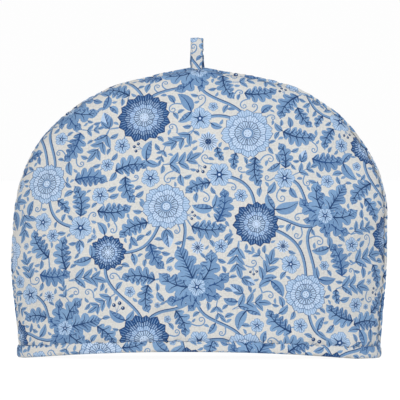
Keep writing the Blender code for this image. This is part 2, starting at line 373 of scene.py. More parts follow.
def petal(inner, outer, half_width, widest=0.6, notch=0.0, count=6):
    """A petal along the first axis between two distances from the flower's middle."""
    share = np.linspace(0.0, 1.0, count)
    opening = np.sin(0.5 * math.pi * (0.25 + 0.75 * np.minimum(share / widest, 1.0)))
    closing = np.cos(0.5 * math.pi * np.maximum((share - widest) / (1.0 - widest), 0.0) ** 1.6)
    half = half_width * opening * closing
    if notch:
        half[-1] = 0.28 * half_width
    upper = np.column_stack([inner + share * (outer - inner), half])[: None if notch else -1]
    return np.vstack([upper, [(outer - notch, 0.0)], (upper * (1.0, -1.0))[::-1]])

def ring(place, turn, count, inner, outer, overlap, inks, reach, notch=0.0, rim=0.45, rng=None):
    """A ring of petals with rims. inks are rim, petal and strokes, whose reach is a share of the petal."""
    shapes = []
    half = overlap * math.pi * (inner + 0.65 * (outer - inner)) / count
    lines = strokes(place, turn, RAYED, inner + reach * (outer - inner), inks[2])
    for angle in spokes(count, turn):
        far = outer * (1.0 + (rng.uniform(-0.05, 0.05) if rng else 0.0))
        whole = petal(inner, far, half, 0.65, notch)
        blade = petal(inner + rim / 2.0, far - 1.3 * rim, half - rim, 0.65, notch)
        shapes += all_moved([(whole, inks[0], None), (blade, inks[1], lines)], place, angle)
    return shapes

def flower(kind, place, radius, turn, rng):
    """A large flower of several rings of petals."""
    rings, discs, dot_rings = FLOWERS[kind]
    shapes = []
    for count, lean, inner, outer, overlap, notch, reach, inks in rings:
        uneven = rng if outer > UNEVEN_FROM else None
        sizes = (inner * radius, outer * radius, overlap, inks, reach, notch * radius)
        shapes += ring(place, turn + lean, count, *sizes, rng=uneven)
    for size, ink, count in discs:
        shapes += disc(place, size * radius, ink, count)
    for away, count, size, ink in dot_rings:
        shapes += dots(place, away * radius, count, size, ink)
    return shapes

def blossom(place, radius, turn, rng):
    """A small flower of five or six round petals."""
    count = rng.choice((5, 5, 6))
    shapes = ring(place, turn, count, 0.12 * radius, radius, 1.0, ("leaf", "petal", "leaf"), 1.05, rim=0.4)
    for angle in spokes(count, turn):
        line = place + np.outer((0.2, 0.4, 0.66), radius * unit(angle))
        shapes.append(drawn(line, 0.13 * radius, 0.3, "vein"))
    return shapes + disc(place, 0.24 * radius, "navy", 8) + disc(place, 0.11 * radius, "petal_light", 5)

def daisy(place, radius, turn):
    """A small pale flower of narrow petals."""
    lines = strokes(place, turn, RAYED, 0.9 * radius, "vein")
    blade = petal(0.2 * radius, radius, 0.27 * radius, count=4)
    shapes = []
    for number, angle in enumerate(spokes(9, turn)):
        shapes.append((moved(blade, place, angle), "petal_light" if number % 2 else "petal", lines))
    return shapes + disc(place, 0.30 * radius, "vein", 9) + dots(place, 0.16 * radius, 4, 0.3, "petal")

def bud(place, angle, length):
    """A closed flower between two sepals."""
    shapes = leaf(place, angle, length, 0.62 * length, 0.0, ("petal_shade", "petal", "vein"))
    for lean in (0.42, -0.42):
        inks = ("leaf_shade", "leaf", "vein")
        shapes += leaf(place, angle + lean, 0.66 * length, 0.27 * length, 0.2 * lean, inks)
    return shapes

def curl(place, angle, size, way):
    """A tendril that winds up at its tip."""
    share = np.linspace(0.0, 1.0, 17)
    steps = circle(angle + way * 8.0 * share**1.6) * (1.0 - 0.6 * share)[:, None]
    return [drawn(np.vstack([place, place + np.cumsum(steps, axis=0) * size / 7.0]), 1.35, 0.9)]

def berries(place, angle, size):
    """Three berries on stalks, each with a glint."""
    shapes = []
    for lean, reach in ((-0.6, 0.75), (0.05, 0.95), (0.7, 0.75)):
        end = place + size * reach * unit(angle + lean)
        line = bezier(place, place + 0.4 * size * unit(angle), end, end, 3)
        shapes += [drawn(line, 0.6, 0.4)] + disc(end, 0.19 * size, "vein", 8)
        shapes += disc(end + 0.06 * size * unit(2.4), 0.07 * size, "petal", 4)
    return shapes

def sprig(place, angle, length, pairs, rng):
    """A bowed stalk with pairs of small leaves."""
    lean = rng.uniform(-0.22, 0.22) * length * unit(angle + math.pi / 2.0)
    tip = place + length * unit(angle)
    way = tip - place
    line = bezier(place, place + 0.35 * way + lean, place + 0.7 * way + lean, tip, 7)
    shapes = [drawn(line[:6], 1.1, 0.6)]
    for pair in range(pairs):
        at = (pair + 0.75) / (pairs + 0.85) * 6.0
        before = line[int(at)]
        step = line[int(at) + 1] - before
        size = length * (0.46 - 0.12 * pair / pairs)
        for side in (1.0, -1.0):
            aim = heading_of(step) + side * rng.uniform(0.7, 0.95)
            shapes += leaf(before + (at % 1.0) * step, aim, size, 0.46 * size, -0.1 * side)
    return shapes + leaf(line[5], heading_of(tip - line[5]), 0.42 * length, 0.2 * length, 0.05)

def leaf_fan(place, size, turn, rng):
    """Large lobed leaves that spread round a small flower."""
    pairs = ((2.3, 0.75), (1.5, 1.0), (0.72, 1.15))  # how far each pair leans out, and its length
    leaves = [(side * lean, reach) for lean, reach in pairs for side in (1, -1)]
    shapes = []
    for lean, reach in leaves + [(0.0, 1.3)]:
        inks = DARK_LEAF if abs(lean) > 1.0 else MID_LEAF
        bend = 0.16 * np.sign(lean)
        shapes += lobed_leaf(place, turn + lean, size * reach, 0.58 * size * reach, bend, 4, inks)
    return shapes + blossom(place, 0.27 * size, turn, rng)

LARGE_MOTIFS = {
    "dahlia": partial(flower, "dahlia"),
    "rosette": partial(flower, "rosette"),
    "leaf_fan": leaf_fan,
    "blossom": blossom,
}

class Cloth:
    """Printed shapes, and how far each place of the ground is from the nearest one."""

    cell = 1.5
    reach = 25.0

    def __init__(self, low, high):
        self.xs = np.arange(low[0], high[0] + self.cell, self.cell)
        self.ys = np.arange(low[1], high[1] + self.cell, self.cell)
        self.free = np.full((len(self.ys), len(self.xs)), self.reach)
        self.nearest = np.stack(np.meshgrid(self.xs, self.ys), axis=-1)
        self.shapes = []

    def add(self, shapes):
        """Prints shapes, and takes their place from the free ground."""
        self.shapes += shapes
        for points, _, _ in shapes:
            column = np.clip(np.searchsorted(self.xs, points[:, 0]), 0, len(self.xs) - 1)
            row = np.clip(np.searchsorted(self.ys, points[:, 1]), 0, len(self.ys) - 1)
            if (self.free[row, column] > 0.0).any():
                self.take(points)

    def take(self, points):
        """Takes an outline's place, and notes how near it comes to the ground round it."""
        edges = np.roll(points, -1, axis=0) - points
        parts = np.maximum(1, np.ceil(np.linalg.norm(edges, axis=1) / 2.0)).astype(int)
        steps = zip(points, edges, parts)
        places = np.vstack([point + edge * (np.arange(n) / n)[:, None] for point, edge, n in steps])
        low = points.min(axis=0) - self.reach
        high = points.max(axis=0) + self.reach
        left, right = np.searchsorted(self.xs, (low[0], high[0]))
        bottom, top = np.searchsorted(self.ys, (low[1], high[1]))
        if right <= left or top <= bottom:
            return
        across, up = np.meshgrid(self.xs[left:right], self.ys[bottom:top])
        away = (across[..., None] - places[:, 0]) ** 2 + (up[..., None] - places[:, 1]) ** 2
        closest = away.argmin(axis=2)
        distance = np.sqrt(np.take_along_axis(away, closest[..., None], 2)[..., 0])
        distance[inside(points, across, up)] = 0.0
        free = self.free[bottom:top, left:right]
        closer = distance < free
        free[closer] = distance[closer]
        self.nearest[bottom:top, left:right][closer] = places[closest[closer]]

    def roomiest(self):
        """The place with the most free ground, how much that is, and the nearest printed place."""
        row, column = np.unravel_index(self.free.argmax(), self.free.shape)
        room = self.free[row, column]
        here = np.array((self.xs[column], self.ys[row]))
        near = self.nearest[row, column].copy()
        self.free[max(row - 1, 0) : row + 2, max(column - 1, 0) : column + 2] = 0.0
        return here, room, near

def inside(outline, across, up):
    """Which places an outline goes round."""
    turns = np.zeros(np.shape(across), int)
    for (ax, ay), (bx, by) in zip(outline, np.roll(outline, -1, axis=0)):
        if ay != by:
            crosses = (ay > up) != (by > up)
            before = across < (bx - ax) * (up - ay) / (by - ay) + ax
            turns += np.where(crosses & before, 1 if by > ay else -1, 0)
    return turns != 0

def filler(here, near, room, rng):
    """A motif that suits the free room round a place, growing from the nearest printed one."""
    away = here - near
    heading = heading_of(away)
    sway = rng.choice((-0.14, 0.14))
    pick = rng.random()
    inks = DARK_LEAF if rng.random() < 0.28 else MID_LEAF
    if room > LARGE_ROOM:
        room = min(room, MOST_ROOM)
        heading += rng.uniform(-0.35, 0.35)
        foot = here - 1.08 * room * unit(heading)
        stalk = [drawn(np.array([near, foot, here]), 1.6, 1.0)] if np.hypot(*away) < 30.0 else []
        if pick < 0.25:
            return stalk + sprig(foot, heading, 2.0 * room, 3, rng)
        lobes = 4 if room < 13.0 else 5
        return stalk + lobed_leaf(foot, heading, 2.15 * room, 1.3 * room, sway, lobes, inks)
    if room > MIDDLE_ROOM:
        stalk = [drawn(np.array([near, (near + here) / 2.0, here]), 1.3, 0.8)]
        long = 2.05 * room + PRINT_GAP
        if pick < 0.22:
            return stalk + blossom(here, 0.95 * room, 20.0 * pick, rng)
        if pick < 0.32:
            return stalk + daisy(here, 0.9 * room, 9.0 * pick)
        if pick < 0.50:
            return sprig(near, heading, 2.1 * room + PRINT_GAP, 2, rng)
        if pick < 0.60:
            return bud(near, heading, 2.0 * room)
        if pick < 0.78:
            return lobed_leaf(near, heading, long, 1.4 * room, sway, 3, inks)
        lean = 2.0 * sway
        shapes = leaf(near, heading + lean, long, 1.05 * room, sway, inks)
        return shapes + leaf(near, heading - 4.5 * lean, 1.5 * room, 0.75 * room, -sway, MID_LEAF)
    if room > SMALL_ROOM:
        if pick < 0.50:
            heading += rng.uniform(-0.3, 0.3)
            return leaf(near, heading, 2.1 * room + PRINT_GAP, 1.25 * room, sway, inks)
        if pick < 0.85:
            return curl(near, heading - 4.0 * sway, 2.9 * room, np.sign(sway))
        if pick < 0.92:
            return berries(near, heading, 1.9 * room)
        return blossom(here, 0.9 * room, 9.0 * pick, rng)
    heading += rng.uniform(-0.6, 0.6)
    return leaf(near, heading, 2.3 * room + PRINT_GAP, 1.4 * room, sway, inks)

def printed(low, high, seed, shift):
    """The shapes printed on a rectangle of cloth. shift moves the repeat."""
    rng = random.Random(seed)
    low = np.array(low, float)
    high = np.array(high, float)
    cloth = Cloth(low, high)
    first = np.floor((low - shift) / PRINT_REPEAT).astype(int) - 1
    last = np.ceil((high - shift) / PRINT_REPEAT).astype(int) + 1
    tiles = [(i, j) for i in range(first[0], last[0]) for j in range(first[1], last[1])]

    def place(tile, number):
        _, across, up, _, _ = PRINT_MOTIFS[number]
        column, row = tile
        drop = (column % 2) * PRINT_REPEAT[1] / 2.0
        return np.array((column * PRINT_REPEAT[0] + across, row * PRINT_REPEAT[1] + up + drop)) + shift

    def near(point, margin):
        return (low - margin < point).all() and (point < high + margin).all()

    for tile in tiles:
        for start, end, leave, arrive in PRINT_STEMS:
            a = place(tile, start)
            b = place(tile, end)
            if near(a, STEM_MARGIN) or near(b, STEM_MARGIN):
                aside = np.array((a[1] - b[1], b[0] - a[0]))
                on = 0.4 * (b - a)
                line = bezier(a, a + on + leave * aside, b - on + arrive * aside, b, STEM_POINTS)
                edge = line + left_normals(line)
                cloth.add([drawn(line, 3.4, 2.8), drawn(edge, 0.7, 0.7, "vein")])
    for tile in tiles:
        for number, (kind, _, _, size, turn) in enumerate(PRINT_MOTIFS):
            point = place(tile, number)
            if near(point, 1.3 * size):
                cloth.add(LARGE_MOTIFS[kind](point, size, turn + 0.4 * sum(tile), rng))
    here, room, near_point = cloth.roomiest()
    while room > PRINT_GAP + LEAST_ROOM:
        cloth.add(filler(here, near_point, room - PRINT_GAP, rng))
        here, room, near_point = cloth.roomiest()
    return cloth.shapes

# The panels' cloth: from flat places, in metres from the middle of the foot line, to space

CREASE_DEPTH = 0.0011  # how far a panel turns in where it meets the binding
CREASE_REACH = 0.0028  # how far above the binding it starts to turn in
CREASE_FADE = 0.004  # how far from the seam the crease is full
FOLD_FADE = 0.006  # how far from the seam the folds are full
TUCKED = 0.0040  # the strip of a panel that the binding hides
PUCKER_DEPTH = 0.0006  # the small gathers along the seam and over the binding
PUCKER_REACH = 0.0080
SEAM_PUCKERS = (0.0013, 2.2, 0.016)  # their waves' length, and by how much and over what length it wanders
HEM_PUCKERS = (0.0021, 2.4, 0.019)
HEM_PUCKER_GAIN = 1.4
PANEL_REACH = 0.178  # from the middle of the foot line to the seam, about
NORMAL_STEP = 0.0006

def dent_depth(x, z, dents):
    """How far the dents push a panel's face in at a place."""
    total = np.zeros(np.shape(x))
    for across, height, reach, depth in dents:
        distance = np.hypot(x - across, z - height)
        total += depth * np.exp(-2.0 * (distance / reach) ** 2)
    return total

def panel_point(direction, share, side, dents, lining=False):
    """Points of a panel's face or lining, by direction from the middle of its foot and share of the way."""
    reach = share * np.interp(direction, *(LINING_EDGE if lining else FACE_EDGE))
    x = reach * np.cos(direction)
    z = FOOT_HEIGHT + CLEARANCE + reach * np.sin(direction)
    height_share = (z - FOOT_HEIGHT) / BELLY_TOP
    belly = 1.0 + BELLY * np.sin(math.pi * np.clip(height_share, 0.0, 1.0))
    edge_depth = SEAM_GAP if lining else FACE_EDGE_DEPTH
    middle_depth = HEM_DEPTH - PANEL_RECESS - (PADDING if lining else 0.0)
    depth = edge_depth + (middle_depth - edge_depth) * fullness(share) * belly
    depth -= dent_depth(x, z, dents) * eased(2.0 * fullness(share)) * eased(8.0 * height_share)
    z = z + (binding_top(x) - FOOT_HEIGHT) * eased(1.0 - height_share)
    return np.stack([x, side * depth, z], axis=-1)

class Panel:
    """One panel's cloth. Flat, it keeps the true distance and direction from the middle of its foot."""

    directions = np.linspace(0.0, math.pi, 241)
    shares = 1.0 - (1.0 - np.linspace(0.0, 1.0, 161)) ** 3
    steps = np.linspace(0.0, 1.0, 161)

    def __init__(self, side, dents):
        self.side = side
        self.dents = dents
        self.folds = None
        points = panel_point(self.directions[:, None], self.shares[None, :], side, ())
        lengths = np.linalg.norm(np.diff(points, axis=1), axis=2).cumsum(axis=1)
        lengths = np.concatenate([np.zeros((len(lengths), 1)), lengths], axis=1)
        self.reach = lengths[:, -1]
        self.share_at = np.array([np.interp(self.steps * line[-1], line, self.shares) for line in lengths])

    def rim(self, spacing):
        """The flat outline: along the seam from right to left, then down and back along the tucked edge."""
        directions = np.linspace(0.0, math.pi, 2000)
        reach = np.interp(directions, self.directions, self.reach)
        arc = np.column_stack([reach * np.cos(directions), reach * np.sin(directions)])
        arc = evenly(arc, spacing)
        right, left = arc[0], arc[-1]
        corners = [left, (left[0], -TUCKED), (right[0], -TUCKED), right]
        foot = evenly(np.array(corners), spacing)[1:-1]
        return np.vstack([arc, foot])

    def polar(self, flat):
        """The direction, the distance and the seam's distance of flat places."""
        up = np.maximum(flat[:, 1], 0.0)
        direction = np.arctan2(up, flat[:, 0])
        return direction, np.hypot(flat[:, 0], up), np.interp(direction, self.directions, self.reach)

    def share(self, flat):
        """The direction and the share of the way to the seam of flat places."""
        direction, distance, edge = self.polar(flat)
        step = np.clip(distance / edge, 0.0, 1.0) * (len(self.steps) - 1)
        turn = direction / math.pi * (len(self.directions) - 1)
        row = np.minimum(turn.astype(int), len(self.directions) - 2)
        column = np.minimum(step.astype(int), len(self.steps) - 2)
        turn -= row
        step -= column
        table = self.share_at
        before = table[row, column] * (1.0 - step) + table[row, column + 1] * step
        after = table[row + 1, column] * (1.0 - step) + table[row + 1, column + 1] * step
        return direction, before * (1.0 - turn) + after * turn

    def surface(self, flat, lining=False):
        """The smooth surface, without folds; below the foot line it hangs straight down."""
        points = panel_point(*self.share(flat), self.side, self.dents, lining)
        points[:, 2] += np.minimum(flat[:, 1], 0.0)
        return points

    def face(self, flat):
        """The face's points, with the crease over the binding and the cloth's folds."""
        inward = normals_of(self.surface, flat, self.side)
        near = np.clip(1.0 - flat[:, 1] / CREASE_REACH, 0.0, 1.0)
        crease = CREASE_DEPTH * (1.0 - np.sqrt(1.0 - near * near))
        gap = self.edge_gap(flat)
        inset = crease * eased(gap / CREASE_FADE) + puckers(flat, gap)
        points = self.surface(flat) + inward * inset[:, None]
        if self.folds:
            points += self.folds.at(flat) * eased(gap / FOLD_FADE)[:, None]
        return points

    def edge_gap(self, flat):
        """How far flat places are from the seam."""
        _, distance, edge = self.polar(flat)
        return edge - distance

    def lining(self, flat):
        """The inner face's points."""
        return self.surface(flat, lining=True)

def puckers(flat, gap):
    """How far the small gathers push the cloth in, at flat places at a distance from the seam."""
    up = np.maximum(flat[:, 1], 0.0)
    around = PANEL_REACH * np.arctan2(up, flat[:, 0])
    at_seam = wander(around, *SEAM_PUCKERS) * np.exp(-gap / PUCKER_REACH)
    at_hem = wander(flat[:, 0], *HEM_PUCKERS) * np.exp(-up / (1.4 * PUCKER_REACH))
    return PUCKER_DEPTH * (at_seam + HEM_PUCKER_GAIN * at_hem)

def wander(place, length, drift, drift_length):
    """Waves of an uneven length."""
    return np.sin(place / length + drift * np.sin(place / drift_length))

def normals_of(lift, flat, sign):
    """Unit normals of a lifted sheet, by small steps over its flat shape."""
    across, up = (lift(flat + step) - lift(flat - step) for step in NORMAL_STEP * np.eye(2))
    normals = np.cross(across, up) * sign
    return normals / np.maximum(np.linalg.norm(normals, axis=1), 1e-15)[:, None]

# Cutting the print into a mesh

BLOCK = 0.030  # the print is cut into triangles a square of this size at a time
GRID = 0.0050  # the most that points lie apart where the print has none
WELD = 2e-7

def cut_block(low, high, shapes, outline):
    """Cuts one square into triangles along the edges of shapes and of an outline."""
    points = []
    edges = []

    def add_ring(ring):
        start = len(points)
        points.extend(Vector(point) for point in ring)
        edges.extend((start + i, start + (i + 1) % len(ring)) for i in range(len(ring)))

    for shape in shapes:
        add_ring(shape)
    add_ring(outline)
    steps = max(1, round((high[0] - low[0]) / GRID)), max(1, round((high[1] - low[1]) / GRID))
    xs = np.linspace(low[0], high[0], steps[0] + 1)
    ys = np.linspace(low[1], high[1], steps[1] + 1)
    add_ring([(x, low[1]) for x in xs[:-1]] + [(high[0], y) for y in ys[:-1]]
             + [(x, high[1]) for x in xs[:0:-1]] + [(low[0], y) for y in ys[:0:-1]])
    points.extend(Vector((x, y)) for x in xs[1:-1] for y in ys[1:-1])
    made = delaunay_2d_cdt(points, edges, [], 0, 1e-7, False)
    flat = np.array([point[:] for point in made[0]])
    return flat, np.array(made[2])

def cut_cloth(outline, shapes):
    """Cuts an outline into triangles along the print: their points, corners and topmost shapes, or -1."""
    low = outline.min(axis=0)
    high = outline.max(axis=0)
    boxes = np.array([(*points.min(axis=0), *points.max(axis=0)) for points, _, _ in shapes]).reshape(-1, 4)
    count = np.ceil((high - low) / BLOCK).astype(int)
    all_points, all_corners, all_tops = [], [], []
    start = 0
    for column in range(count[0]):
        for row in range(count[1]):
            near = low + (column * BLOCK, row * BLOCK)
            far = low + ((column + 1) * BLOCK, (row + 1) * BLOCK)
            here = np.flatnonzero((boxes[:, :2] < far).all(axis=1) & (boxes[:, 2:] > near).all(axis=1))
            flat, corners = cut_block(near, far, [shapes[i][0] for i in here], outline)
            middle = flat[corners].mean(axis=1)
            kept = (middle > near).all(axis=1) & (middle < far).all(axis=1)
            kept[kept] = inside(outline, middle[kept, 0], middle[kept, 1])
            corners = corners[kept]
            middle = middle[kept]
            if not len(corners):
                continue
            tops = np.full(len(corners), -1)
            for i in here:
                points = shapes[i][0]
                box = boxes[i]
                some = np.flatnonzero((middle > box[:2]).all(axis=1) & (middle < box[2:]).all(axis=1))
                if len(some):
                    tops[some[inside(points, middle[some, 0], middle[some, 1])]] = i
            all_points.append(flat)
            all_corners.append(corners + start)
            all_tops.append(tops)
            start += len(flat)
    points = np.vstack(all_points)
    corners = np.vstack(all_corners)
    cells = np.round(points / WELD).astype(np.int64)
    _, first, where = np.unique(cells, axis=0, return_index=True, return_inverse=True)
    corners = where.ravel()[corners]
    used, corners = np.unique(corners, return_inverse=True)
    corners = corners.reshape(-1, 3)
    real = (corners != np.roll(corners, -1, axis=1)).all(axis=1)
    return points[first][used], corners[real], np.concatenate(all_tops)[real]

STROKE_PITCH = 2.0  # millimetres from one stroke to the next

class Inked:
    """What a cut cloth's corners are printed with: an ink, and the strokes' ink, phase and strength."""

    def __init__(self, flat, corners, tops, shapes):
        names = np.array([0] + [INK_NAMES.index(ink) for _, ink, _ in shapes])
        none = (0.0, 0.0, 0.0, 0.0, 0.0, 0.0)
        rows = np.array([none] + [lines or none for _, _, lines in shapes])
        self.ink = np.repeat(names[tops + 1], 3)
        x, y, angle, way, reach, ink = np.repeat(rows[tops + 1], 3, axis=0).T
        across, up = (flat[corners].reshape(-1, 2) / MM - np.column_stack([x, y])).T
        along = across * np.cos(angle) + up * np.sin(angle)
        aside = up * np.cos(angle) - across * np.sin(angle)
        away = np.hypot(along, aside)
        reach = np.maximum(reach, 1e-3)
        rays = np.round(math.tau * 0.72 * reach / STROKE_PITCH)
        turn = np.arctan2(aside, along).reshape(-1, 3)
        behind = turn - turn[:, :1]
        turn += math.tau * (behind < -math.pi) - math.tau * (behind > math.pi)
        rayed = turn.ravel() / math.tau * rays
        veined = (along - 1.1 * np.abs(aside)) / (1.8 * STROKE_PITCH)
        self.phase = np.where(way == RAYED, rayed, veined)
        fade = np.where(way == RAYED, away, np.abs(aside)) / reach
        self.strength = np.where(reach > 0.01, 1.0 - fade, -1.0)
        self.stroke_ink = ink.astype(int)

# Cloth simulation of a panel's padding and folds

CLOTH_FRAMES = 20
CLOTH_PRESSURE = 4.0
CLOTH_SLACK = 0.012  # how much longer the cloth is cut than the surface it starts on
MOST_MOVEMENT = 0.0035
START_INSET = 0.0018  # the pad swells, so it starts from a slightly smaller shape
START_FADE = 0.03  # how far from the edge the start is that much smaller
START_ROUGHNESS = 0.00008
HELD_EDGE = 0.0008

class Folds:
    """How far the simulated cloth lies off a panel's smooth surface, on a flat square lattice."""

    spacing = 0.005

    def __init__(self, panel, seed):
        outline = panel.rim(self.spacing)
        flat, corners, _ = cut_cloth(outline, [])
        if panel.side > 0.0:
            corners = corners[:, ::-1]
        start = panel.surface(flat)
        rng = np.random.default_rng(seed)
        gap = np.minimum(panel.edge_gap(flat), np.maximum(flat[:, 1], 0.0))
        held = gap < HELD_EDGE
        inward = normals_of(panel.surface, flat, panel.side)
        begin = start + inward * (START_INSET * eased(gap / START_FADE))[:, None]
        begin += np.where(held, 0.0, 1.0)[:, None] * rng.normal(0.0, START_ROUGHNESS, start.shape)
        offset = run_cloth(begin, corners, held) - start
        size = np.linalg.norm(offset, axis=1)
        offset *= (MOST_MOVEMENT * np.tanh(size / MOST_MOVEMENT) / np.maximum(size, 1e-9))[:, None]
        self.low = outline.min(axis=0) - 3.0 * self.spacing
        count = np.ceil((outline.max(axis=0) - self.low) / self.spacing).astype(int) + 5
        self.lattice = np.zeros((count[0], count[1], 3))
        cell = (flat - self.low) / self.spacing
        whole = np.round(cell).astype(int)
        on_lattice = (np.abs(cell - whole) < 0.01).all(axis=1)
        self.lattice[whole[on_lattice, 0], whole[on_lattice, 1]] = offset[on_lattice]

    def at(self, flat):
        """The smoothed offset at flat places: a cubic B-spline over the lattice."""
        cell = (flat - self.low) / self.spacing
        whole = cell.astype(int)
        across, up = (weights(share) for share in (cell - whole).T)
        total = np.zeros((len(flat), 3))
        for i in range(4):
            for j in range(4):
                column = np.clip(whole[:, 0] + i - 1, 0, self.lattice.shape[0] - 1)
                row = np.clip(whole[:, 1] + j - 1, 0, self.lattice.shape[1] - 1)
                total += (across[i] * up[j])[:, None] * self.lattice[column, row]
        return total

def weights(share):
    """A cubic B-spline's four weights."""
    rest = 1.0 - share
    return (rest**3 / 6.0, (3.0 * share**3 - 6.0 * share**2 + 4.0) / 6.0,
            (3.0 * rest**3 - 6.0 * rest**2 + 4.0) / 6.0, share**3 / 6.0)

def run_cloth(points, corners, held):
    """Where pressed cloth comes to lie, held at some of its points."""
    mesh = bpy.data.meshes.new("cloth_start")
    mesh.from_pydata(points.tolist(), [], corners.tolist())
    cloth = bpy.data.objects.new("cloth_start", mesh)
    scene = bpy.context.scene
    scene.collection.objects.link(cloth)
    group = cloth.vertex_groups.new(name="held")
    group.add(np.flatnonzero(held).tolist(), 1.0, "REPLACE")
    modifier = cloth.modifiers.new("cloth", "CLOTH")
    settings = modifier.settings
    settings.quality = 8
    settings.mass = 0.2
    settings.tension_stiffness = settings.compression_stiffness = 18.0
    settings.shear_stiffness = 6.0
    settings.bending_stiffness = 1.2
    settings.tension_damping = settings.compression_damping = settings.shear_damping = 12.0
    settings.air_damping = 4.0
    settings.shrink_min = -CLOTH_SLACK
    settings.use_pressure = True
    settings.uniform_pressure_force = CLOTH_PRESSURE
    settings.vertex_group_mass = group.name
    settings.effector_weights.gravity = 0.0
    modifier.collision_settings.use_collision = False
    modifier.point_cache.frame_end = CLOTH_FRAMES
    for frame_number in range(1, CLOTH_FRAMES + 1):
        scene.frame_set(frame_number)
    shown = cloth.evaluated_get(bpy.context.evaluated_depsgraph_get())
    result = np.empty(len(points) * 3, np.float32)
    shown.data.vertices.foreach_get("co", result)
    scene.frame_set(1)
    bpy.data.objects.remove(cloth)
    bpy.data.meshes.remove(mesh)
    return result.reshape(-1, 3).astype(float)

PRINTS = {  # by node, the seed of the print's small motifs and where its repeat starts, in millimetres
    "front_panel": (5, (-96.0, -40.0)),
    "back_panel": (8, (-20.0, -120.0)),
    "piping": (17, (40.0, 10.0)),
    "hem_binding": (11, (30.0, -150.0)),
    "hanging_loop": (1, (-20.0, -70.0)),
}
EDGE_SPACINGS = {"panel": 0.003, "piping": 0.0016, "hem_binding": 0.002, "hanging_loop": 0.0012}
LINING_MAP = (0.01, 0.74, 0.36)  # the lining's corner on the baking map, and its scale beside the face's
SEWN_GAP = 1e-6  # points of the face's rim and the lining's that are this close are one
ARCH_SCALE = 0.0114  # about the binding's height, in metres

def ordered_rim(corners):
    """The points round the edge of a sheet of triangles, in order."""
    edges = np.concatenate([corners[:, [0, 1]], corners[:, [1, 2]], corners[:, [2, 0]]])
    known = {(a, b) for a, b in edges.tolist()}
    following = {a: b for a, b in known if (b, a) not in known}
    best = []
    while following:
        start, here = following.popitem()
        ring_points = [start]
        while here != start and here in following:
            ring_points.append(here)
            here = following.pop(here)
        best = max(best, ring_points, key=len)
    return np.array(best)

def build_piece(name, points, cut, flat, bake, normals, materials, finish=0):
    """Makes a mesh object. cut is its corners, their topmost shapes and all the shapes."""
    corners, tops, shapes = cut
    ends = points[corners]
    facing = np.cross(ends[:, 1] - ends[:, 0], ends[:, 2] - ends[:, 0])
    if (facing * normals[corners[:, 0]]).sum() < 0.0:
        corners = corners[:, ::-1]
    inked = Inked(flat, corners, tops, shapes)
    mesh = bpy.data.meshes.new(name)
    mesh.vertices.add(len(points))
    mesh.vertices.foreach_set("co", points.astype(np.float32).ravel())
    mesh.loops.add(corners.size)
    mesh.loops.foreach_set("vertex_index", corners.astype(np.int32).ravel())
    mesh.polygons.add(len(corners))
    mesh.polygons.foreach_set("loop_start", np.arange(0, corners.size, 3, dtype=np.int32))
    mesh.polygons.foreach_set("material_index", np.broadcast_to(finish, len(corners)).astype(np.int32))
    for material in materials:
        mesh.materials.append(material)
    mesh.update(calc_edges=True)
    palette = np.array([(*colour, 255) for colour in INKS.values()]) / 255.0
    for layer_name, inks in (("ink", inked.ink), ("stroke_ink", inked.stroke_ink)):
        layer = mesh.color_attributes.new(layer_name, "BYTE_COLOR", "CORNER")
        layer.data.foreach_set("color_srgb", palette[inks].astype(np.float32).ravel())
    drawn = np.column_stack([inked.phase, inked.strength])
    every = corners.ravel()
    for map_name, places in (("cloth", flat[every]), ("strokes", drawn), ("OFBake", bake[every])):
        layer = mesh.uv_layers.new(name=map_name)
        layer.uv.foreach_set("vector", places.astype(np.float32).ravel())
    mesh.shade_smooth()
    mesh.normals_split_custom_set_from_vertices(normals.astype(np.float32))
    piece = bpy.data.objects.new(name, mesh)
    bpy.context.scene.collection.objects.link(piece)
    return piece

def declare(piece, *nodes):
    """Every piece rides on the one body, and may stand for nodes."""
    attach(piece, BODY)
    if nodes:
        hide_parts(*nodes)

def print_on(outline, node):
    """The print's shapes over a flat outline, in metres."""
    shapes = printed(outline.min(axis=0) / MM - 2.0, outline.max(axis=0) / MM + 2.0, *PRINTS[node])
    return [(points * MM, ink, lines) for points, ink, lines in shapes]

def on_map(flat, size):
    """Flat places on the unit square of the baking map, with a little room round them."""
    return 0.01 + 0.98 * flat / size

